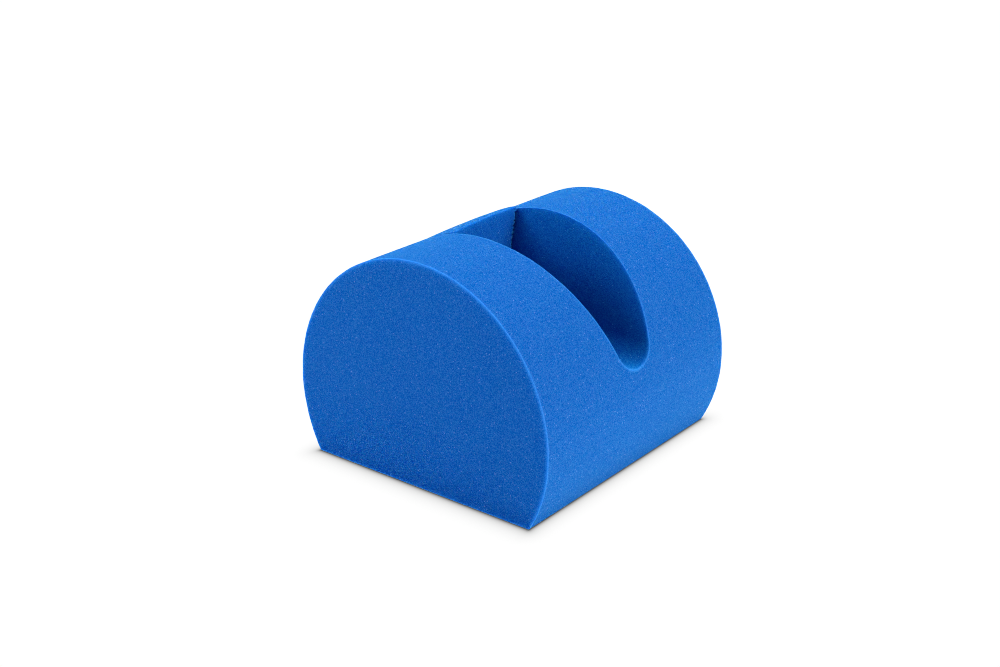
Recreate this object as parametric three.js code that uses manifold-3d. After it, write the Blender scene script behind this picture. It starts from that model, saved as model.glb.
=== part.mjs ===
// Leg positioning foam: a D-section foam block, lying on its flat, with a leg trough cut across its
// round top and a foam end stop glued into one end of the trough, so that the sole of the foot has a wall
// to stand against.
//
// Millimetres, +Z up. X runs along the trough, and the leg comes in from +X. Y is the block's length,
// along the axis of its round back. The origin is the middle of the flat base.
import * as THREE from "three";
import { mergeVertices } from "three/addons/utils/BufferGeometryUtils.js";
import Module from "manifold-3d";

// ---- driving dimensions -------------------------------------------------------------------------------
const ROUND_R = 152.4; // radius of the round back: a 12 inch round
const ROUND_Z = 76.2; // height of the round's centre over the base, half the radius, so the block is 9 inches high
const BLOCK_L = 301.4; // length of the block along Y
const EDGE_R = 1.5; // softness of the sawn edges round both end faces
const BASE_EDGE_R = 1.8; // softness of the two long edges of the base

const TROUGH_HALF = 55.4; // half the trough's width at the level of the block's top
const TROUGH_LEAN = THREE.MathUtils.degToRad(16.95); // lean of each trough wall from upright
const TROUGH_FLOOR = 113.0; // height of the trough's round floor over the base
const TROUGH_Y = -1.1; // the trough sits this far off the middle of the block's length

const GLUE_GAP = 0.3; // glue line all round the end stop
const STOP_X = -37.1; // face of the end stop, at the height STOP_Z on the trough's centre line
const STOP_Z = 222.0;
const STOP_LEAN = THREE.MathUtils.degToRad(2.8); // the stop's face leans back, away from the foot
const STOP_SKEW = THREE.MathUtils.degToRad(2.3); // and is cut a little askew in plan
const STOP_CROWN = 1.1; // how far the squeezed-in stop swells proud of the round back
const FACE_CROWN = 2.0; // and how much more at the top edge of its face
const FACE_ANGLE = THREE.MathUtils.degToRad(104); // where that edge lies round the back
const FACE_FADE = THREE.MathUtils.degToRad(13.7); // the angle over which the face's swell dies away
const CROWN_DROP = 0.44; // the share of the swell that is lost at the stop's sides
const CROWN_TILT = 0.9; // the stop sits this much higher on its +Y side, and lower on its -Y side

const ARC_STEPS = 96; // steps in the round back
const BASE_EDGE_STEPS = 3; // steps in each softened base edge
const FLOOR_STEPS = 18; // steps in the trough's round floor
const CROWN_ROWS = 40; // rows of the swelled surface round the back
const CROWN_COLUMNS = 26; // and columns across it

// ---- solids ------------------------------------------------------------------------------------------
const wasm = await Module();
wasm.setup();

// A closed three.js geometry as a solid.
function solid(geometry) {
  const g = geometry.clone();
  g.deleteAttribute("normal");
  g.deleteAttribute("uv");
  const merged = mergeVertices(g, 1e-4);
  return new wasm.Manifold(
    new wasm.Mesh({
      numProp: 3,
      vertProperties: merged.attributes.position.array,
      triVerts: new Uint32Array(merged.index.array),
    }),
  );
}

// A solid as a three.js geometry.
function geometryOf(made) {
  const mesh = made.getMesh();
  const g = new THREE.BufferGeometry();
  g.setAttribute(
    "position",
    new THREE.BufferAttribute(mesh.vertProperties, mesh.numProp),
  );
  g.setIndex(new THREE.BufferAttribute(mesh.triVerts, 1));
  const flat = g.toNonIndexed();
  flat.computeVertexNormals();
  return flat;
}

// ---- the block's D section, drawn in XZ ---------------------------------------------------------------
function arcPoints(cx, cy, r, from, to, steps) {
  const points = [];
  for (let i = 0; i <= steps; i++) {
    const a = from + ((to - from) * i) / steps;
    points.push(new THREE.Vector2(cx + r * Math.cos(a), cy + r * Math.sin(a)));
  }
  return points;
}

function blockSection() {
  // the small arc that softens a base edge touches the base and the round
  const cx = Math.sqrt((ROUND_R - BASE_EDGE_R) ** 2 - (BASE_EDGE_R - ROUND_Z) ** 2);
  const meet = Math.atan2(BASE_EDGE_R - ROUND_Z, cx);
  const right = arcPoints(cx, BASE_EDGE_R, BASE_EDGE_R, -Math.PI / 2, meet, BASE_EDGE_STEPS);
  const round = arcPoints(0, ROUND_Z, ROUND_R, meet, Math.PI - meet, ARC_STEPS);
  const left = arcPoints(-cx, BASE_EDGE_R, BASE_EDGE_R, Math.PI - meet, (3 * Math.PI) / 2, BASE_EDGE_STEPS);
  // each arc starts where the one before it ends
  return new THREE.Shape([...right, ...round.slice(1), ...left.slice(1)]);
}

function blockSolid() {
  const g = new THREE.ExtrudeGeometry(blockSection(), {
    depth: BLOCK_L - 2 * EDGE_R,
    bevelEnabled: true,
    bevelThickness: EDGE_R,
    bevelSize: EDGE_R,
    bevelOffset: -EDGE_R,
    bevelSegments: 3,
  });
  g.translate(0, 0, -(BLOCK_L - 2 * EDGE_R) / 2);
  g.rotateX(Math.PI / 2); // drawn x, y, z become X, Z, -Y
  return solid(g);
}

// ---- the trough's section, drawn in YZ: two leaning walls and a round floor that touches both ---------------
const TOP_Z = ROUND_Z + ROUND_R;
const RISE = Math.tan(TROUGH_LEAN);
const FLOOR_R =
  (TROUGH_HALF - RISE * (TOP_Z - TROUGH_FLOOR)) /
  (Math.hypot(1, RISE) - RISE);
const FLOOR_CENTRE_Z = TROUGH_FLOOR + FLOOR_R;

// half the trough's width at height z
function troughHalf(z) {
  if (z <= TROUGH_FLOOR) return 0;
  if (z >= FLOOR_CENTRE_Z - FLOOR_R * Math.sin(TROUGH_LEAN))
    return TROUGH_HALF - RISE * (TOP_Z - z);
  return Math.sqrt(FLOOR_R ** 2 - (z - FLOOR_CENTRE_Z) ** 2);
}

// the section drawn in by inset on every side, and carried up to height top
function troughSection(inset, top) {
  const r = FLOOR_R - inset;
  const topHalf = TROUGH_HALF - RISE * (TOP_Z - top) - inset * Math.hypot(1, RISE);
  const floor = arcPoints(0, FLOOR_CENTRE_Z, r, Math.PI + TROUGH_LEAN, 2 * Math.PI - TROUGH_LEAN, FLOOR_STEPS);
  return new THREE.Shape([
    new THREE.Vector2(-topHalf, top),
    ...floor,
    new THREE.Vector2(topHalf, top),
  ]);
}

const ALONG_X = new THREE.Matrix4().makeBasis(
  new THREE.Vector3(0, 1, 0),
  new THREE.Vector3(0, 0, 1),
  new THREE.Vector3(1, 0, 0),
); // drawn x, y, z become Y, Z, X

function troughSolid(inset) {
  const reach = ROUND_R + 20;
  const g = new THREE.ExtrudeGeometry(troughSection(inset, TOP_Z + 15), {
    depth: 2 * reach,
    bevelEnabled: false,
  });
  g.translate(0, 0, -reach);
  g.applyMatrix4(ALONG_X);
  g.translate(0, TROUGH_Y, 0);
  return solid(g);
}

// ---- the end stop's swelled back: the round, raised over the stop and most at the top of its face --------------
function swell(angle, y) {
  const half = troughHalf(ROUND_Z + ROUND_R * Math.sin(angle)) - GLUE_GAP;
  if (half <= 1) return 0;
  const across = Math.min(1, Math.max(-1, y / half));
  const crown = STOP_CROWN + FACE_CROWN * Math.exp((FACE_ANGLE - angle) / FACE_FADE);
  // it dies away where the stop gets narrow, at its foot
  return Math.min(1, half / (0.6 * TROUGH_HALF)) * (crown * (1 - CROWN_DROP * across ** 2) + CROWN_TILT * across);
}

function crownedRound() {
  const from = THREE.MathUtils.degToRad(85);
  const to = THREE.MathUtils.degToRad(178);
  const halfWidth = TROUGH_HALF + 6;
  const position = [];
  const index = [];
  const perColumn = CROWN_ROWS + 3; // the arc, and two points that close the section inside the block
  for (let j = 0; j <= CROWN_COLUMNS; j++) {
    const y = halfWidth * ((2 * j) / CROWN_COLUMNS - 1);
    for (let i = 0; i <= CROWN_ROWS; i++) {
      const a = from + ((to - from) * i) / CROWN_ROWS;
      const r = ROUND_R + swell(a, y);
      position.push(r * Math.cos(a), TROUGH_Y + y, ROUND_Z + r * Math.sin(a));
    }
    position.push(30, TROUGH_Y + y, ROUND_Z, 30, TROUGH_Y + y, TOP_Z - 1);
  }
  for (let j = 0; j < CROWN_COLUMNS; j++)
    for (let i = 0; i < perColumn; i++) {
      const n = (i + 1) % perColumn;
      const a = j * perColumn + i;
      const b = j * perColumn + n;
      index.push(a, a + perColumn, b, b, a + perColumn, b + perColumn);
    }
  // the two flat ends
  const last = CROWN_COLUMNS * perColumn;
  const close = CROWN_ROWS + 1;
  for (let i = 0; i < perColumn; i++) {
    const n = (i + 1) % perColumn;
    if (i === close || n === close) continue;
    index.push(close, i, n);
    index.push(last + close, last + n, last + i);
  }
  const g = new THREE.BufferGeometry();
  g.setAttribute("position", new THREE.Float32BufferAttribute(position, 3));
  g.setIndex(index);
  return solid(g);
}

// everything on the foot's side of the stop's face
function stopFaceCutter() {
  const size = 400;
  const g = new THREE.BoxGeometry(size, size, size);
  g.translate(size / 2, 0, 0);
  g.rotateY(-STOP_LEAN);
  g.rotateZ(STOP_SKEW);
  g.translate(STOP_X, TROUGH_Y, STOP_Z);
  return solid(g);
}

// ---- the assembly ------------------------------------------------------------------------------------
const foam = (r, g, b) =>
  new THREE.MeshStandardMaterial({
    color: new THREE.Color().setRGB(r, g, b),
    roughness: 0.95,
    metalness: 0,
  });

const part = new THREE.Group();
part.name = "leg_positioning_foam";

const block = new THREE.Mesh(
  geometryOf(blockSolid().subtract(troughSolid(0))),
  foam(0.012, 0.145, 0.62),
);
block.name = "foam_block";
part.add(block);

const stop = new THREE.Mesh(
  geometryOf(
    crownedRound().intersect(troughSolid(GLUE_GAP)).subtract(stopFaceCutter()),
  ),
  foam(0.011, 0.135, 0.6),
);
stop.name = "end_stop";
part.add(stop);

export default part;
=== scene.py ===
import math

import bmesh
import bpy
import numpy as np
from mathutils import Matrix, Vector, kdtree, noise
from mathutils.geometry import delaunay_2d_cdt


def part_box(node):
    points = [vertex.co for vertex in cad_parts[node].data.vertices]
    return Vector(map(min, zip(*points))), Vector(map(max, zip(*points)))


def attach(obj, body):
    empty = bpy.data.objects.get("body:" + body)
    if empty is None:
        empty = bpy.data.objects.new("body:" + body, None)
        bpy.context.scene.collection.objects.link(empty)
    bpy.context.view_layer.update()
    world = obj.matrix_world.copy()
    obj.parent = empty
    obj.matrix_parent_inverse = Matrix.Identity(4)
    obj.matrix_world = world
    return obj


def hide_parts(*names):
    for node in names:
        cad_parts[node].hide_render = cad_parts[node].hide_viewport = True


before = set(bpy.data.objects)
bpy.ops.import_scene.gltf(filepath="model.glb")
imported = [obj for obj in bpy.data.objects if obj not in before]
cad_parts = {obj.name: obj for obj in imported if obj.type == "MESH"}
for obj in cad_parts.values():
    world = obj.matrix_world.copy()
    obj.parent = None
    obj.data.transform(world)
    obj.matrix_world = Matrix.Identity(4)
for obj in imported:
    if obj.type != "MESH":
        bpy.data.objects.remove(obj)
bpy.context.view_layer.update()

SEED = 20
rng = np.random.default_rng(SEED)

# ---- sizes, in millimetres -------------------------------------------------------------------------------
block_low, block_high = (np.array(c) * 1000 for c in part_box("foam_block"))
ROUND_R = float(block_high[0] - block_low[0]) / 2  # radius of the round back
ROUND_Z = float(block_high[2]) - ROUND_R  # height of its centre
LENGTH = float(block_high[1] - block_low[1])
TOP_Z = float(block_high[2])
RIM_R = 0.55  # softened edge round the two end faces
BASE_R = 1.8  # softened long edges of the base
LIP_R = 0.6  # softened edge of the trough
STOP_EDGE_R = 1.3  # softened edges of the end stop

TROUGH_HALF = 55.4  # half width of the trough at the level of the top
LEAN = math.radians(16.95)  # lean of its walls
FLOOR_Z = 113.0  # height of its round floor
TROUGH_Y = -1.1  # its centre line along the block

STOP_X, STOP_Z = -37.1, 222.0  # face of the end stop, on the centre line
STOP_LEAN, STOP_SKEW = math.radians(2.8), math.radians(2.3)
STOP_CROWN, FACE_CROWN = 1.1, 2.0  # how far the stop swells proud of the round back, and how much more at its face
FACE_ANGLE, FACE_FADE = math.radians(104), math.radians(13.7)
CROWN_DROP, CROWN_TILT = 0.44, 0.9
GLUE_GAP = 0.3
FACE_GAP, FACE_GAP_DEPTH = 1.5, 2.6  # the gap opens by this much at the face, and closes this far behind it

GRID = 2.06  # spacing of the block's skin
GRID_HIDDEN = 5.0  # and where it is never seen: the base, and behind the end stop
STOP_GRID = 0.86  # spacing of the end stop's skin
FILLET_STEPS = 6

RISE = math.tan(LEAN)
FLOOR_R = (TROUGH_HALF - RISE * (TOP_Z - FLOOR_Z)) / (math.hypot(1, RISE) - RISE)
FLOOR_CZ = FLOOR_Z + FLOOR_R
MEET_Z = FLOOR_CZ - FLOOR_R * math.sin(LEAN)  # where a wall runs into the round floor


# ---- the block's D section: distance s along it, from the middle of the base, up the +X side and over --------
CORNER_X = math.sqrt((ROUND_R - BASE_R) ** 2 - (BASE_R - ROUND_Z) ** 2)
MEET_A = math.atan2(BASE_R - ROUND_Z, CORNER_X)
S1 = CORNER_X
S2 = S1 + BASE_R * (MEET_A + math.pi / 2)
S3 = S2 + ROUND_R * (math.pi - 2 * MEET_A)
S4 = S3 + (S2 - S1)
S5 = S4 + CORNER_X


def section(s):
    """(x, z) and the outward normal of the section at distance s."""
    s = np.asarray(s, float)
    right = -math.pi / 2 + (s - S1) / BASE_R
    turn = MEET_A + (s - S2) / ROUND_R
    left = math.pi - MEET_A + (s - S3) / BASE_R
    where = [s <= S1, s <= S2, s <= S3, s <= S4]
    one, none = np.ones_like(s), np.zeros_like(s)
    nx = np.select(where, [none, np.cos(right), np.cos(turn), np.cos(left)], none)
    nz = np.select(where, [-one, np.sin(right), np.sin(turn), np.sin(left)], -one)
    x = np.select(
        where,
        [s, CORNER_X + BASE_R * np.cos(right), ROUND_R * np.cos(turn), -CORNER_X + BASE_R * np.cos(left)],
        s - S5,
    )
    z = np.select(
        where,
        [none, BASE_R + BASE_R * np.sin(right), ROUND_Z + ROUND_R * np.sin(turn), BASE_R + BASE_R * np.sin(left)],
        none,
    )
    return np.stack([x, z], -1), np.stack([nx, nz], -1)


def along(a, b, step):
    n = max(1, round(abs(b - a) / step))
    return np.linspace(a, b, n, endpoint=False)


# ---- the trough's section: distance t along it from the middle of the floor, negative on the -Y side ----------
T_MEET = FLOOR_R * (math.pi / 2 - LEAN)


def trough(t):
    """(y, z) and the normal into the open trough, at distance t along its section."""
    t = np.asarray(t, float)
    side = np.sign(t)
    past = np.maximum(np.abs(t) - T_MEET, 0)
    a = np.clip(t, -T_MEET, T_MEET) / FLOOR_R
    y = FLOOR_R * np.sin(a) + side * past * math.sin(LEAN)
    z = FLOOR_CZ - FLOOR_R * np.cos(a) + past * math.cos(LEAN)
    return np.stack([TROUGH_Y + y, z], -1), np.stack([-np.sin(a), np.cos(a)], -1)


def trough_half(z):
    z = np.asarray(z, float)
    wall = TROUGH_HALF - RISE * (TOP_Z - z)
    low = np.sqrt(np.maximum(FLOOR_R**2 - (z - FLOOR_CZ) ** 2, 0))
    return np.where(z >= MEET_Z, wall, np.where(z > FLOOR_Z, low, 0.0))


# ---- meshing -----------------------------------------------------------------------------------------------
class Skin:
    """The points and triangles of one piece."""

    def __init__(self):
        self.points, self.faces, self.count = [], [], 0

    def add(self, points):
        points = np.asarray(points, float).reshape(-1, 3)
        self.points.append(points)
        self.count += len(points)
        return np.arange(self.count - len(points), self.count)

    def strip(self, a, b):
        """Triangles between two closed loops of the same length."""
        a2, b2 = np.roll(a, -1), np.roll(b, -1)
        self.faces.append(np.stack([a, a2, b2], -1))
        self.faces.append(np.stack([a, b2, b], -1))

    def made(self):
        return np.concatenate(self.points), np.concatenate(self.faces)


def inside(points, loop):
    """Which of the flat points lie inside the closed loop."""
    a, b = loop, np.roll(loop, -1, 0)
    found = np.zeros(len(points), bool)
    for at in range(0, len(points), 20000):
        p = points[at : at + 20000]
        x, y = p[:, :1], p[:, 1:]
        spans = (a[:, 1] > y) != (b[:, 1] > y)
        with np.errstate(divide="ignore", invalid="ignore"):
            cut = a[:, 0] + (y - a[:, 1]) / (b[:, 1] - a[:, 1]) * (b[:, 0] - a[:, 0])
        found[at : at + 20000] = (np.count_nonzero(spans & (x < cut), 1) % 2).astype(bool)
    return found


def grid(low, high, step):
    """A staggered grid of points over a flat box, a little uneven."""
    rows = np.arange(low[1], high[1], step * math.sqrt(3) / 2)
    columns = np.arange(low[0], high[0], step)
    u, v = np.meshgrid(columns, rows)
    u = u + (np.arange(len(rows)) % 2)[:, None] * step / 2
    p = np.stack([u.ravel(), v.ravel()], -1)
    return p + rng.uniform(-0.16, 0.16, p.shape) * step


def clear_of(points, edge, far):
    """The points further than far from every point of edge."""
    tree = kdtree.KDTree(len(edge))
    for i, p in enumerate(edge):
        tree.insert((p[0], p[1], 0.0), i)
    tree.balance()
    keep = [tree.find((p[0], p[1], 0.0))[2] > far for p in points]
    return points[np.array(keep, bool)]


def fill(loops, points, hole=None):
    """Triangles over the flat region inside loops[0] and outside hole, through its points and the loops' own."""
    flat = np.concatenate([*loops, points])
    edges, at = [], 0
    for loop in loops:
        n = len(loop)
        edges += [(at + i, at + (i + 1) % n) for i in range(n)]
        at += n
    made = delaunay_2d_cdt([Vector(p) for p in flat], edges, [], 0, 1e-7)
    back = [o[0] for o in made[3]]
    triangles = np.array([[back[i] for i in f] for f in made[2]])
    middle = flat[triangles].mean(1)
    keep = inside(middle, loops[0])
    if hole is not None:
        keep &= ~inside(middle, hole)
    return triangles[keep]


def wander(points, size, seed):
    """Smooth noise from -1 to 1 at each point, with features of about that size."""
    shift = Vector((seed * 17.31, seed * -9.77, seed * 5.13))
    return np.array([noise.noise(Vector(p) / size + shift) for p in points])


# ---- the foam block's skin -----------------------------------------------------------------------------------
def block_skin():
    skin = Skin()
    half = LENGTH / 2
    rim_s = np.concatenate(
        [
            along(0, S1, GRID * 1.5),
            along(S1, S2, BASE_R * 0.28),
            along(S2, S3, GRID),
            along(S3, S4, BASE_R * 0.28),
            along(S4, S5, GRID * 1.5),
        ]
    )
    xz, normal = section(rim_s)

    # the soft rims, from the round back (first loop) to the end face (last loop)
    rims, rim_mid = {}, []
    for side in (-1, 1):
        loops = []
        for k in range(FILLET_STEPS + 1):
            a = math.pi / 2 * k / FILLET_STEPS
            p = xz - normal * RIM_R * (1 - math.cos(a))
            y = side * (half - RIM_R + RIM_R * math.sin(a))
            pts = np.stack([p[:, 0], np.full(len(p), y), p[:, 1]], -1)
            loops.append(skin.add(pts))
            if k == FILLET_STEPS // 2:
                rim_mid.append(pts)
        for a, b in zip(loops, loops[1:]):
            skin.strip(a, b)
        rims[side] = loops

    # the two end faces
    for side in (-1, 1):
        rim = rims[side][-1]
        loop = xz - normal * RIM_R
        pts = grid(loop.min(0), loop.max(0), GRID)
        pts = pts[inside(pts, loop)]
        pts = clear_of(pts, loop, GRID * 0.62)
        made = skin.add(np.stack([pts[:, 0], np.full(len(pts), side * half), pts[:, 1]], -1))
        ids = np.concatenate([rim, made])
        skin.faces.append(ids[fill([loop], pts)])

    # the lip of the trough: a closed loop down one wall's top edge, round the mouth, and back along the other
    turn = math.asin((MEET_Z - ROUND_Z) / ROUND_R)
    up = along(math.pi - turn, turn, GRID / ROUND_R)
    t_near = -(T_MEET + (ROUND_Z + ROUND_R * np.sin(up) - MEET_Z) / math.cos(LEAN))
    t_mouth = along(-T_MEET, T_MEET, GRID * 0.8)
    t_loop = np.concatenate([t_near, t_mouth, -t_near[::-1], t_mouth[::-1]])
    yz, into = trough(t_loop)
    reach = np.sqrt(np.maximum(ROUND_R**2 - (yz[:, 1] - ROUND_Z) ** 2, 0))
    n_near, n_mouth = len(up), len(t_mouth)
    sign = np.concatenate(
        [np.sign(np.cos(up)), np.ones(n_mouth), np.sign(np.cos(up[::-1])), -np.ones(n_mouth)]
    )
    edge = np.stack([sign * reach, yz[:, 0], yz[:, 1]], -1)
    # no two points of the loop closer than a third of the grid
    keep = [0]
    for i in range(1, len(edge)):
        if np.linalg.norm(edge[i] - edge[keep[-1]]) > GRID * 0.33:
            keep.append(i)
    if np.linalg.norm(edge[keep[-1]] - edge[0]) < GRID * 0.33:
        keep.pop()
    edge, into, t_loop = edge[keep], into[keep], t_loop[keep]
    n1 = edge * [1, 0, 1] - [0, 0, ROUND_Z]
    n1 /= np.linalg.norm(n1, axis=1)[:, None]
    n2 = np.stack([np.zeros(len(into)), into[:, 0], into[:, 1]], -1)
    between = np.arccos(np.clip((n1 * n2).sum(1), -1, 1))
    centre = edge - LIP_R * (n1 + n2) / (1 + np.cos(between))[:, None]
    lips = []
    for k in range(FILLET_STEPS + 1):
        w = k / FILLET_STEPS
        n = (np.sin((1 - w) * between)[:, None] * n1 + np.sin(w * between)[:, None] * n2) / np.sin(between)[:, None]
        lips.append(centre + LIP_R * n)
    # the first loop lies on the round back
    first = lips[0]
    out = first * [1, 0, 1] - [0, 0, ROUND_Z]
    out = out / np.linalg.norm(out, axis=1)[:, None]
    first = out * ROUND_R + first * [0, 1, 0] + [0, 0, ROUND_Z]
    lips[0] = first
    # and the last on the trough's own surface
    last = lips[-1]
    rel = last[:, 1:] - [TROUGH_Y, FLOOR_CZ]
    a = np.arctan2(rel[:, 0], -rel[:, 1])
    swing = math.pi / 2 - LEAN
    up_wall = np.abs(rel[:, 0]) * math.sin(LEAN) + rel[:, 1] * math.cos(LEAN)
    t_last = np.where(up_wall >= 0, np.sign(rel[:, 0]) * (T_MEET + up_wall), np.clip(a, -swing, swing) * FLOOR_R)
    on, _ = trough(t_last)
    lips[-1] = np.stack([last[:, 0], on[:, 0], on[:, 1]], -1)
    lip_ids = [skin.add(p) for p in lips]
    for a, b in zip(lip_ids, lip_ids[1:]):
        skin.strip(a, b)

    # the round back and the base, unrolled: distance along the section, and y
    y_end = half - RIM_R
    y_seam = along(-y_end, y_end, GRID_HIDDEN)[1:]
    seam = skin.add(np.stack([np.zeros(len(y_seam)), y_seam, np.zeros(len(y_seam))], -1))
    low, high = rims[-1][0], rims[1][0]
    n = len(rim_s)
    outline = np.concatenate(
        [
            np.stack([rim_s, np.full(n, -y_end)], -1),
            [[S5, -y_end]],
            np.stack([np.full(len(y_seam), S5), y_seam], -1),
            [[S5, y_end]],
            np.stack([rim_s, np.full(n, y_end)], -1)[::-1],
            np.stack([np.zeros(len(y_seam)), y_seam], -1)[::-1],
        ]
    )
    outline_ids = np.concatenate([low, low[:1], seam, high[:1], high[::-1], seam[::-1]])
    hole = np.stack(
        [S2 + (np.arctan2(first[:, 2] - ROUND_Z, first[:, 0]) - MEET_A) * ROUND_R, first[:, 1]], -1
    )
    fine = grid((S1 - 4, -y_end), (S4 + 4, y_end), GRID)
    coarse = np.concatenate(
        [grid((0, -y_end), (S1 - 6, y_end), GRID_HIDDEN), grid((S4 + 6, -y_end), (S5, y_end), GRID_HIDDEN)]
    )
    pts = []
    for p, step in ((fine, GRID), (coarse, GRID_HIDDEN)):
        p = p[inside(p, outline) & ~inside(p, hole)]
        pts.append(clear_of(p, np.concatenate([outline, hole]), step * 0.62))
    pts = np.concatenate(pts)
    p2, _ = section(pts[:, 0])
    made = skin.add(np.stack([p2[:, 0], pts[:, 1], p2[:, 1]], -1))
    ids = np.concatenate([outline_ids, lip_ids[0], made])
    skin.faces.append(ids[fill([outline, hole], pts, hole)])

    # the trough's walls and floor, unrolled: distance along its section, and x
    loop = np.stack([t_last, lips[-1][:, 0]], -1)
    box = loop.min(0), loop.max(0)
    fine, coarse = grid(*box, GRID), grid(*box, GRID_HIDDEN * 0.8)
    pts = []
    for p, step, seen in ((fine, GRID, True), (coarse, GRID_HIDDEN * 0.8, False)):
        p = p[inside(p, loop) & ((p[:, 1] > -52) == seen)]
        pts.append(clear_of(p, loop, step * 0.62))
    pts = np.concatenate(pts)
    on, _ = trough(pts[:, 0])
    made = skin.add(np.stack([pts[:, 1], on[:, 0], on[:, 1]], -1))
    ids = np.concatenate([lip_ids[-1], made])
    skin.faces.append(ids[fill([loop], pts)])

    points, faces = skin.made()
    lip = lips[FILLET_STEPS // 2]
    edges = np.concatenate([*rim_mid, lip])
    # the paler edges, partly wear and partly a painted highlight, are strongest at the top of the rims; along the lip
    # they are weakest along the top of its walls, more so on the far wall, and strongest at the mouth
    top_wear_and_highlight = np.where(lip[:, 1] < TROUGH_Y, 0.62, 0.4)
    lip_wear_and_highlight = top_wear_and_highlight + (0.9 - top_wear_and_highlight) * np.interp(lip[:, 2], [125, 170], [1, 0])
    wear_and_highlight = np.concatenate([*(np.interp(r[:, 2], [130, 200], [1.0, 1.3]) for r in rim_mid), lip_wear_and_highlight])
    return points, faces, edges, wear_and_highlight


def edge_share(points, edges, wear_and_highlight, width):
    """How close each point is to a sawn edge: 1 right on it, and gone a few widths away. The wear and painted highlight
    there, and how far off the edge is."""
    tree = kdtree.KDTree(len(edges))
    for i, p in enumerate(edges):
        tree.insert(p, i)
    tree.balance()
    found = [tree.find(p) for p in points]
    d = np.array([f[2] for f in found])
    return np.exp(-((d / width) ** 2)), wear_and_highlight[[f[1] for f in found]], d


NO_GLOW = 8.0  # a depth that light doesn't come through


def block_depth(points, far):
    """How deep each point of an end face or of the trough lies behind the lit round back, far being its distance to
    the nearest edge, and how much it lies in the trough."""
    x, y, z = points.T
    end = 1 - (LENGTH / 2 - np.abs(y)) / RIM_R
    dip = (ROUND_R - np.hypot(x, z - ROUND_Z)) / LIP_R
    dip = np.where((z > FLOOR_Z - 2) & (np.abs(y - TROUGH_Y) < trough_half(z) + 2), dip, 0)
    return far + NO_GLOW * (1 - np.clip(np.maximum(end, dip), 0, 1)), np.clip(dip, 0, 1)


# ---- the end stop's skin: a solid of soft-edged faces, found on a grid and drawn on to its true surface ------------
def stop_field(p):
    """Signed distance to the end stop, about, in millimetres, and to each of its sides: back, walls and face."""
    x, y, z = p[..., 0], p[..., 1] - TROUGH_Y, p[..., 2]
    a = np.arctan2(z - ROUND_Z, x)
    half = np.maximum(trough_half(ROUND_Z + ROUND_R * np.sin(a)) - GLUE_GAP, 1e-3)
    across = np.clip(y / half, -1, 1)
    crown = STOP_CROWN + FACE_CROWN * np.exp((FACE_ANGLE - a) / FACE_FADE)
    swell = np.minimum(1, half / (0.6 * TROUGH_HALF)) * (crown * (1 - CROWN_DROP * across**2) + CROWN_TILT * across)
    back = np.hypot(x, z - ROUND_Z) - (ROUND_R + swell)
    q1, q2 = np.abs(y), z - FLOOR_CZ
    on_wall = q1 * math.sin(LEAN) + q2 * math.cos(LEAN) >= 0
    wall = np.where(on_wall, q1 * math.cos(LEAN) - q2 * math.sin(LEAN), np.hypot(q1, q2)) - FLOOR_R + GLUE_GAP
    face = x - STOP_X + y * math.tan(STOP_SKEW) + (z - STOP_Z) * math.tan(STOP_LEAN)
    face = face / math.sqrt(1 + math.tan(STOP_SKEW) ** 2 + math.tan(STOP_LEAN) ** 2)
    # the squeezed plug draws in from the trough's walls where it comes to its sawn face
    wall = wall + FACE_GAP * np.exp(-((np.minimum(face, 0) / FACE_GAP_DEPTH) ** 2))
    sides = np.stack([back, wall, face], -1)
    r = STOP_EDGE_R
    grown = sides + r
    field = np.minimum(grown.max(-1), 0) + np.linalg.norm(np.maximum(grown, 0), axis=-1) - r
    return field, sides


def stop_sides(p):
    """How far each point lies outside the stop's back, its walls and its face."""
    return stop_field(p)[1]


def stop_skin():
    low, high = (np.array(c) * 1000 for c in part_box("end_stop"))
    low, high = low - np.array((2.43, 2.83, 2.83)) * STOP_GRID, high + 2.5 * STOP_GRID
    axes = [np.arange(a, b, STOP_GRID) for a, b in zip(low, high)]
    p = np.stack(np.meshgrid(*axes, indexing="ij"), -1)
    field = stop_field(p)[0]
    within = field < 0
    # one point in each cell that the surface passes through, at the mean of its crossings
    shape = np.array(field.shape) - 1
    total = np.zeros((*shape, 3))
    hits = np.zeros(shape)
    corners = [(i, j, k) for i in (0, 1) for j in (0, 1) for k in (0, 1)]

    def at(c, a):
        return a[c[0] : c[0] + shape[0], c[1] : c[1] + shape[1], c[2] : c[2] + shape[2]]

    for c in corners:
        for axis in range(3):
            if c[axis]:
                continue
            d = list(c)
            d[axis] = 1
            f0, f1 = at(c, field), at(d, field)
            crossing = (f0 < 0) != (f1 < 0)
            w = np.where(crossing, f0 / np.where(f0 == f1, 1, f0 - f1), 0)
            for m in range(3):
                place = c[m] + (w if m == axis else 0)
                total[..., m] += np.where(crossing, place, 0)
            hits += crossing
    has = hits > 0
    number = np.full(shape, -1)
    number[has] = np.arange(np.count_nonzero(has))
    cells = np.argwhere(has)
    points = low + (cells + total[has] / hits[has][:, None]) * STOP_GRID
    # a face across each grid edge that the surface cuts
    faces = []
    for axis in range(3):
        b, c = (axis + 1) % 3, (axis + 2) % 3
        f0 = np.take(within, range(within.shape[axis] - 1), axis)
        f1 = np.take(within, range(1, within.shape[axis]), axis)
        found = np.argwhere(f0 != f1)
        found = found[(found[:, b] > 0) & (found[:, c] > 0)]
        step_b, step_c = np.eye(3, dtype=int)[b], np.eye(3, dtype=int)[c]
        corner = [found, found - step_b, found - step_b - step_c, found - step_c]
        faces.append(np.stack([number[tuple(k.T)] for k in corner], -1))
    faces = np.concatenate(faces)
    for _ in range(4):
        field = stop_field(points)[0]
        e = 0.05
        slope = np.stack(
            [(stop_field(points + d)[0] - stop_field(points - d)[0]) / (2 * e) for d in np.eye(3) * e], -1
        )
        size = np.maximum((slope**2).sum(-1), 0.2)
        points = points - slope * (field / size)[:, None]
    return points, faces


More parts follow.
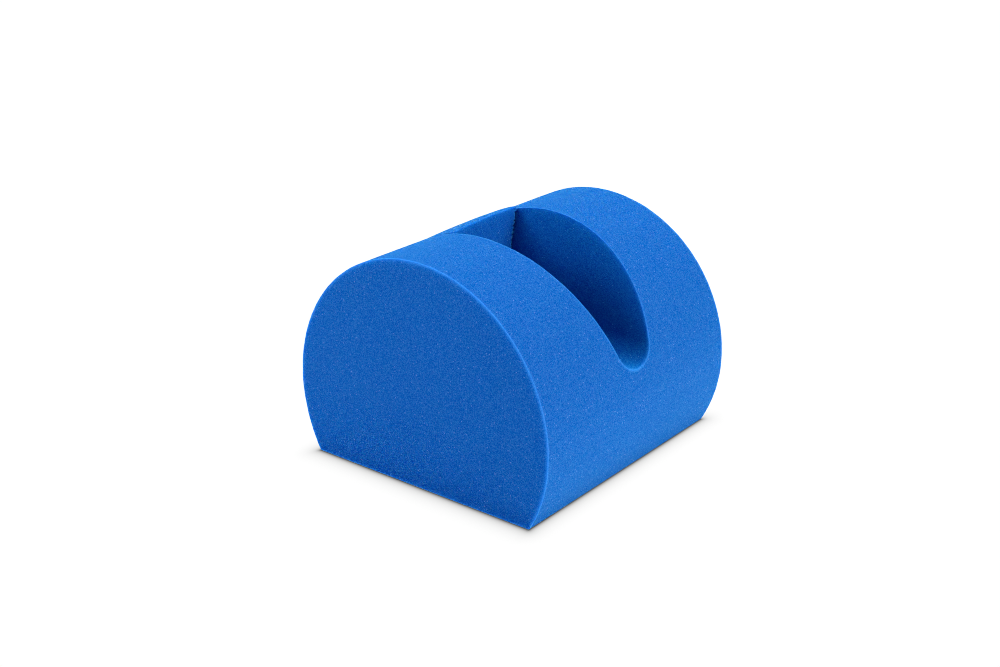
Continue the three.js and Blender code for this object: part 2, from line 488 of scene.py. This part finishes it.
# ---- objects ---------------------------------------------------------------------------------------------------
def piece(name, points, faces, **shares):
    mesh = bpy.data.meshes.new(name)
    mesh.from_pydata((points * 0.001).tolist(), [], faces.tolist())
    work = bmesh.new()
    work.from_mesh(mesh)
    bmesh.ops.recalc_face_normals(work, faces=work.faces)
    work.to_mesh(mesh)
    work.free()
    mesh.polygons.foreach_set("use_smooth", np.ones(len(mesh.polygons), bool))
    for key, value in shares.items():
        mesh.attributes.new(key, "FLOAT", "POINT").data.foreach_set("value", value.astype(np.float32))
    mesh.update()
    obj = bpy.data.objects.new(name, mesh)
    bpy.context.scene.collection.objects.link(obj)
    return obj


def make_block():
    points, faces, edges, wear_and_highlight = block_skin()
    edge, wear_and_highlight, far = edge_share(points, edges, wear_and_highlight, 0.9)
    # depth and inner carry the painted light that comes through behind edges, and the painted light and shade in the
    # trough
    depth, inner = block_depth(points, far)
    # edge carries the sawn edges' wear and their painted highlight
    obj = piece("foam_block_skin", points, faces, edge=edge * wear_and_highlight, depth=depth, inner=inner)
    # the hand of the saw: slow waves in every face, and edges that are a little uneven
    mesh = obj.data
    normal = np.zeros(len(points) * 3, np.float32)
    mesh.vertices.foreach_get("normal", normal)
    normal = normal.reshape(-1, 3)
    push = 0.16 * wander(points, 42, 1) + 0.09 * wander(points, 13, 2) + 0.055 * wander(points, 4.6, 3)
    push += edge * (0.16 * wander(points, 9, 4) + 0.10 * wander(points, 3.4, 5))
    push = np.where(points[:, 2] < 0.5, 0, push * np.clip(points[:, 2] / 6, 0, 1))
    points = points + normal * push[:, None]
    # it stays in the box of the frame
    points = np.clip(points, block_low, block_high)
    mesh.vertices.foreach_set("co", (points * 0.001).astype(np.float32).ravel())
    mesh.update()
    return obj


def refine(points, faces, chosen):
    """The chosen faces, and those that share an edge with them, split: four-sided faces become four."""
    work = bmesh.new()
    made = [work.verts.new(p) for p in points]
    for f in faces:
        work.faces.new([made[i] for i in f])
    work.faces.ensure_lookup_table()
    edges = {e for f in np.flatnonzero(chosen) for e in work.faces[f].edges}
    bmesh.ops.subdivide_edges(work, edges=list(edges), cuts=1, use_grid_fill=True)
    bmesh.ops.triangulate(work, faces=work.faces[:])
    work.verts.index_update()
    points = np.array([v.co[:] for v in work.verts])
    faces = np.array([[v.index for v in f.verts] for f in work.faces])
    work.free()
    return points, faces


def make_stop():
    points, faces = stop_skin()
    # finer along the edges of the face, which are frayed
    near = stop_sides(points)
    fray_zone = (near[:, 2] > -3.2) & (np.maximum(near[:, 0], near[:, 1]) > -3.2)
    points, faces = refine(points, faces, fray_zone[faces].any(1))
    near = stop_sides(points)
    ordered = np.sort(near, -1)
    edge = np.exp(-((np.minimum(ordered[:, 1], 0) / 1.3) ** 2))
    corner = np.exp(-((np.minimum(near[:, 1], 0) / 1.5) ** 2)) * np.exp(-((np.minimum(near[:, 2], 0) / 1.5) ** 2))
    # its face looks into the trough and is painted with its shade there, and painted light comes through it below its
    # top edge
    inner = np.clip(1 + near[:, 2] / STOP_EDGE_R, 0, 1)
    depth = -0.7 * near[:, 0] + NO_GLOW * (1 - inner)
    # edge paints its edges and the frayed corner of its face paler: partly crushed foam, partly a painted highlight
    obj = piece("end_stop_skin", points, faces, edge=0.36 * edge + 0.24 * corner, depth=depth, inner=inner)
    mesh = obj.data
    normal = np.zeros(len(points) * 3, np.float32)
    mesh.vertices.foreach_get("normal", normal)
    normal = normal.reshape(-1, 3)
    push = 0.18 * wander(points, 26, 6) + 0.10 * wander(points, 9, 7) + 0.06 * wander(points, 3.1, 8)
    push += edge * (0.22 * wander(points, 5, 9) + 0.16 * wander(points, 2.1, 10))
    # torn cell walls stand out along the corner between the face and the trough's walls, across the gap
    torn = np.clip(1 - 4.5 * np.abs(wander(points, 2.5, 11)) + wander(points, 1.0, 12), -0.8, 1.0)
    side = np.sign(points[:, 1] - TROUGH_Y)
    across = np.stack([np.full(len(points), 0.45), side * math.cos(LEAN), np.full(len(points), -math.sin(LEAN))], -1)
    points = points + normal * push[:, None] + across * (corner * 1.55 * torn)[:, None]
    mesh.vertices.foreach_set("co", (points * 0.001).astype(np.float32).ravel())
    mesh.update()
    return obj


# ---- foam ----------------------------------------------------------------------------------------------------------
class Graph:
    """A short way to add and join shader nodes."""

    def __init__(self, tree):
        self.tree = tree

    def put(self, socket, value):
        if isinstance(value, bpy.types.NodeSocket):
            self.tree.links.new(value, socket)
        elif value is not None:
            socket.default_value = value

    def node(self, kind, inputs=None, **settings):
        made = self.tree.nodes.new(kind)
        for key, value in settings.items():
            setattr(made, key, value)
        for key, value in (inputs or {}).items():
            self.put(made.inputs[key], value)
        return made

    def math(self, operation, a, b=None, c=None, clamp=False):
        made = self.node("ShaderNodeMath", operation=operation, use_clamp=clamp)
        for socket, value in zip(made.inputs, (a, b, c)):
            self.put(socket, value)
        return made.outputs[0]

    def noise(self, at, size, detail=2.0, rough=0.55):
        """Noise from -1 to 1, about, with features of a size in millimetres."""
        made = self.node(
            "ShaderNodeTexNoise", {"Vector": at, "Scale": 1 / size, "Detail": detail, "Roughness": rough}
        )
        return self.math("MULTIPLY_ADD", made.outputs["Fac"], 2.0, -1.0)

    def cells(self, at, size, feature="F1"):
        return self.node(
            "ShaderNodeTexVoronoi", {"Vector": at, "Scale": 1 / size, "Randomness": 1.0}, feature=feature
        ).outputs

    def between(self, value, low, high, to_low=0.0, to_high=1.0, curve="SMOOTHSTEP"):
        made = self.node(
            "ShaderNodeMapRange",
            {"Value": value, "From Min": low, "From Max": high, "To Min": to_low, "To Max": to_high},
            interpolation_type=curve,
        )
        return made.outputs["Result"]

    def mix(self, share, a, b, blend="MIX"):
        made = self.node("ShaderNodeMix", data_type="RGBA", blend_type=blend)
        sockets = [k for k in made.inputs if k.enabled]
        for socket, value in zip(sockets, (share, a, b)):
            self.put(socket, value)
        return next(k for k in made.outputs if k.enabled)


def foam_material(name, shift, low, high, painted_glow):
    """Open-cell foam, sawn: pores and the ends of their walls, a few shiny wall ends whose glints are painted as pale
    flecks, slow mottling, paler edges partly where the foam is crushed a little and partly a painted highlight, and a
    painted shade at its foot. Sizes in millimetres. Low and high are the painted shade and light of its faces in the
    trough, deep down and near the top, and glow the painted light that comes through behind a lit edge."""
    mat = bpy.data.materials.new(name)
    mat.use_nodes = True
    g = Graph(mat.node_tree)
    shader = mat.node_tree.nodes["Principled BSDF"]
    at = g.node("ShaderNodeTexCoord").outputs["Object"]
    place = g.node("ShaderNodeMapping", {"Vector": at, "Scale": (1000, 1000, 1000), "Location": shift}).outputs[0]

    # each cell is lighter or darker as the saw has cut it, with a pit in its middle
    cell = g.cells(place, 0.68)
    chance = g.node("ShaderNodeSeparateColor", {"Color": cell["Color"]}).outputs
    pores = cell["Distance"]
    fine = g.noise(place, 0.8, 1.0)
    mottle = g.noise(place, 7.0, 2.0)
    broad = g.noise(place, 70.0, 1.0)
    grain = g.math("MULTIPLY_ADD", g.math("SUBTRACT", chance["Red"], 0.5), 1.5, g.math("MULTIPLY", fine, 0.3))
    grain = g.math("MULTIPLY_ADD", g.math("SUBTRACT", pores, 0.46), 0.9, grain)

    level = g.math("MULTIPLY_ADD", mottle, 0.03, g.math("MULTIPLY_ADD", broad, 0.04, grain))
    level = g.math("MULTIPLY_ADD", level, 0.5, 0.5, clamp=True)
    ramp = g.node("ShaderNodeValToRGB", {"Fac": level})
    ramp.color_ramp.interpolation = "LINEAR"
    stops = ramp.color_ramp.elements
    stops[0].position, stops[1].position = 0.12, 0.90
    middle = stops.new(0.50)
    for stop, colour in (
        (stops[0], (0.0003, 0.071, 0.287)),
        (middle, (0.0061, 0.1065, 0.341)),
        (stops[2], (0.0370, 0.143, 0.391)),
    ):
        stop.color = (*colour, 1)
    colour = ramp.outputs["Color"]

    # some cells are a shade more violet
    violet = g.math("MULTIPLY", g.between(chance["Green"], 0.45, 1.0), 0.6)
    colour = g.mix(violet, colour, (0.038, 0.109, 0.342, 1))

    # painted glints: pale flecks where here and there the end of a cell wall would catch the light
    flecks = g.cells(place, 3.0)
    some = g.node("ShaderNodeSeparateColor", {"Color": flecks["Color"]}).outputs["Red"]
    dot = g.between(flecks["Distance"], 0.12, 0.24, 1.0, 0.0)
    painted_glint = g.math("MULTIPLY", g.math("MULTIPLY", dot, g.between(some, 0.45, 1.0)), 0.62)
    colour = g.mix(painted_glint, colour, (0.170, 0.240, 0.490, 1))

    # painted light and shade in the trough: a purer blue, as of light that has been through more foam, and painted
    #     lighter near the top, away from the stop
    inner = g.node("ShaderNodeAttribute", attribute_name="inner").outputs["Fac"]
    where = g.node("ShaderNodeSeparateXYZ", {"Vector": at}).outputs
    lit = g.math("MULTIPLY", g.between(where["Z"], 0.175, 0.222, curve="LINEAR"), g.between(where["X"], -0.038, -0.020))
    painted_trough_light_and_shade = g.mix(lit, (*low, 1), (*high, 1))
    colour = g.mix(inner, colour, painted_trough_light_and_shade, "MULTIPLY")

    # painted shade: less light comes to its foot, so it is painted darker there
    colour = g.mix(g.between(where["Z"], 0.0, 0.022, 1.0, 0.0), colour, (0.84, 0.89, 0.91, 1), "MULTIPLY")

    # painted light: the light that comes through the foam behind a lit edge
    depth = g.node("ShaderNodeAttribute", attribute_name="depth").outputs["Fac"]
    colour = g.mix(g.math("POWER", 0.62, depth, clamp=True), colour, (*painted_glow, 1), "MULTIPLY")

    # sawn edges, paler partly from wear and partly as a painted highlight
    edge = g.node("ShaderNodeAttribute", attribute_name="edge").outputs["Fac"]
    wear_and_highlight = g.math("MULTIPLY", edge, g.math("MULTIPLY_ADD", grain, 0.4, 0.85), clamp=True)
    colour = g.mix(wear_and_highlight, colour, (0.036, 0.188, 0.500, 1))

    pits = g.math("MULTIPLY_ADD", pores, 0.75, g.math("MULTIPLY", fine, 0.35))
    bump = g.node("ShaderNodeBump", {"Height": pits, "Strength": 0.35, "Distance": 0.0006})
    rough = g.math("MULTIPLY_ADD", grain, -0.08, 0.90, clamp=True)
    g.put(shader.inputs["Base Color"], colour)
    g.put(shader.inputs["Roughness"], rough)
    g.put(shader.inputs["Normal"], bump.outputs["Normal"])
    shader.inputs["Diffuse Roughness"].default_value = 0.5
    shader.inputs["Specular IOR Level"].default_value = 0.02
    # light wanders a few millimetres through the cells, so that edges glow
    shader.inputs["Subsurface Weight"].default_value = 1.0
    shader.inputs["Subsurface Radius"].default_value = (0.25, 0.6, 1.0)
    shader.inputs["Subsurface Scale"].default_value = 0.0042
    return mat


block = make_block()
stop = make_stop()
# each foam's last three tints paint light and shade: its trough faces deep down and near the top, and the light that
# comes through behind a lit edge
for obj, node, material in (
    (
        block,
        "foam_block",
        foam_material("foam", (0, 0, 0), (0.56, 0.98, 0.95), (0.68, 1.26, 1.13), (1.06, 1.45, 1.50)),
    ),
    (
        stop,
        "end_stop",
        foam_material("foam_stop", (310, 120, -90), (0.64, 0.86, 0.92), (0.64, 0.86, 0.92), (1.10, 1.60, 1.50)),
    ),
):
    obj.data.materials.append(material)
    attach(obj, "root")
    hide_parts(node)

# ---- floor, light and camera -----------------------------------------------------------------------------------
# the picture's black point, raised a little as in a studio print
BLACK = 0.0936


def encoded(x):
    return 12.92 * x if x <= 0.0031308 else 1.055 * x ** (1 / 2.4) - 0.055


def linear(v):
    return v / 12.92 if v <= 0.04045 else ((v + 0.055) / 1.055) ** 2.4


FOOT = math.sqrt(ROUND_R**2 - ROUND_Z**2) / 1000, LENGTH / 2000  # half the length and width of the part's foot


def lines(half):
    """Where the floor's grid is cut along one axis: finely just outside the foot."""
    out = half + np.concatenate([np.arange(0, 0.060, 0.002), [0.1, 0.5, 30]])
    return np.concatenate([-out[::-1], out])


xs, ys = lines(FOOT[0]), lines(FOOT[1])
floor_points = np.array([(x, y, -0.0002) for y in ys for x in xs])
n = len(xs)
floor_faces = [
    (j * n + i, j * n + i + 1, j * n + n + i + 1, j * n + n + i) for j in range(len(ys) - 1) for i in range(n - 1)
]
floor_mesh = bpy.data.meshes.new("floor")
floor_mesh.from_pydata(floor_points.tolist(), [], floor_faces)
away = np.maximum(np.abs(floor_points[:, :2]) - FOOT, 0) * (1.3, 1)
floor_mesh.attributes.new("away", "FLOAT", "POINT").data.foreach_set(
    "value", np.hypot(away[:, 0], away[:, 1]).astype(np.float32)
)
floor = bpy.data.objects.new("floor", floor_mesh)
bpy.context.scene.collection.objects.link(floor)
floor_material = bpy.data.materials.new("floor")
floor_material.use_nodes = True
f = Graph(floor_material.node_tree)
floor_shader = floor_material.node_tree.nodes["Principled BSDF"]
floor_shader.inputs["Base Color"].default_value = (0.80, 0.755, 0.66, 1)
floor_shader.inputs["Roughness"].default_value = 1.0
floor_shader.inputs["Specular IOR Level"].default_value = 0.0
floor_shader.inputs["Emission Color"].default_value = (1.0, 0.94, 0.82, 1)
floor_shader.inputs["Emission Strength"].default_value = 0.399  # it lights the part as a light table does
# and shows as plain white, with a painted soft shade that gathers along the part's foot, set by the distance from it
SHADE_REACH = 0.056
shade = f.node("ShaderNodeValToRGB")
f.put(
    shade.inputs["Fac"],
    f.between(f.node("ShaderNodeAttribute", attribute_name="away").outputs["Fac"], 0.0, SHADE_REACH, curve="LINEAR"),
)
while len(shade.color_ramp.elements) > 1:
    shade.color_ramp.elements.remove(shade.color_ramp.elements[0])
for i, mm in enumerate((0, 1, 2, 3, 4.5, 6, 8, 10, 13, 16, 20, 25, 31, 38, 46, 56)):
    shown = 1 - 0.45 * math.exp(-mm / 2.1) - 0.225 * math.exp(-mm / 9.4)
    grey = linear(shown * (1 - BLACK) + BLACK)
    at = mm / 1000 / SHADE_REACH
    stop_at = shade.color_ramp.elements[0] if i == 0 else shade.color_ramp.elements.new(at)
    stop_at.position, stop_at.color = at, (grey, grey, grey, 1)
white = f.node("ShaderNodeEmission", {"Color": shade.outputs["Color"], "Strength": 1.02})
both = f.node("ShaderNodeMixShader")
f.put(both.inputs[0], f.node("ShaderNodeLightPath").outputs["Is Camera Ray"])
f.put(both.inputs[1], floor_shader.outputs[0])
f.put(both.inputs[2], white.outputs[0])
f.put(floor_material.node_tree.nodes["Material Output"].inputs["Surface"], both.outputs[0])
floor_material.cycles.emission_sampling = "NONE"  # the floor is wide, and is found well enough without
floor.data.materials.append(floor_material)

# white all round, which the camera sees beyond the floor, and which lights nothing much
world = bpy.data.worlds.new("studio")
bpy.context.scene.world = world
world.use_nodes = True
w = Graph(world.node_tree)
background = world.node_tree.nodes["Background"]
background.inputs["Color"].default_value = (1, 1, 1, 1)
seen = w.node("ShaderNodeLightPath").outputs["Is Camera Ray"]
w.put(background.inputs["Strength"], w.math("MULTIPLY_ADD", seen, 1.96, 0.04))


def toward(azimuth, elevation):
    """The direction to a light. Azimuth 0 is behind a viewer who looks along +Y, and 90 is on the +X side."""
    a, e = math.radians(azimuth), math.radians(elevation)
    return Vector((math.sin(a) * math.cos(e), -math.cos(a) * math.cos(e), math.sin(e)))


def light(name, kind, direction, energy, colour=(1, 1, 1)):
    data = bpy.data.lights.new(name, kind)
    data.energy = energy
    data.color = colour
    obj = bpy.data.objects.new(name, data)
    obj.rotation_euler = direction.to_track_quat("Z", "Y").to_euler()
    obj.visible_camera = False
    bpy.context.scene.collection.objects.link(obj)
    return obj


def sun(name, azimuth, elevation, strength, spread, colour=(1, 1, 1)):
    """A wide soft light from far off."""
    light(name, "SUN", toward(azimuth, elevation), strength, colour).data.angle = math.radians(spread)


def panel(name, azimuth, elevation, away, side, strength, colour=(1, 1, 1)):
    """A square soft box at a distance from the middle of the near end face, as strong there as a sun would be."""
    direction = toward(azimuth, elevation)
    obj = light(name, "AREA", direction, strength * math.pi * away**2, colour)
    obj.data.shape = "SQUARE"
    obj.data.size = side
    obj.location = Vector((0, -LENGTH / 2000, 0.1)) + direction * away


COOL = (0.82, 0.82, 1.0)
WARM = (1.0, 0.84, 0.84)
sun("top_left", 240, 65, 3.55, 40, (1.0, 0.985, 0.955))
sun("back_right", 135, 40, 1.61, 40)
sun("right", 90, 18, 3.19, 40, WARM)
sun("front", 330, 28, 1.12, 20, COOL)
sun("front_low", 0, 18, 0.95, 40, COOL)
panel("front_left", 315, 8, 1.27, 0.45, 0.57, COOL)

CAMERA_AZIMUTH, CAMERA_ELEVATION = math.radians(38.227), math.radians(21.755)
camera_data = bpy.data.cameras.new("camera")
camera_data.sensor_width = 36
camera_data.lens = 52.261
camera = bpy.data.objects.new("camera", camera_data)
camera.location = (0.82734, -1.07571, 0.65355)
camera.rotation_euler = (math.pi / 2 - CAMERA_ELEVATION, 0, CAMERA_AZIMUTH)
bpy.context.scene.collection.objects.link(camera)
bpy.context.scene.camera = camera

view = bpy.context.scene.view_settings
view.view_transform = "Standard"
view.use_curve_mapping = True
tone = view.curve_mapping.curves[3]
for x in (0.02, 0.035, 0.06, 0.1, 0.17, 0.28, 0.42, 0.6, 0.8):
    tone.points.new(x, linear(max(0.0, (encoded(x) - BLACK) / (1 - BLACK))))
view.curve_mapping.update()
bpy.context.scene.cycles.filter_width = 1.0  # crisp grain
bpy.context.scene.cycles.denoising_prefilter = "NONE"
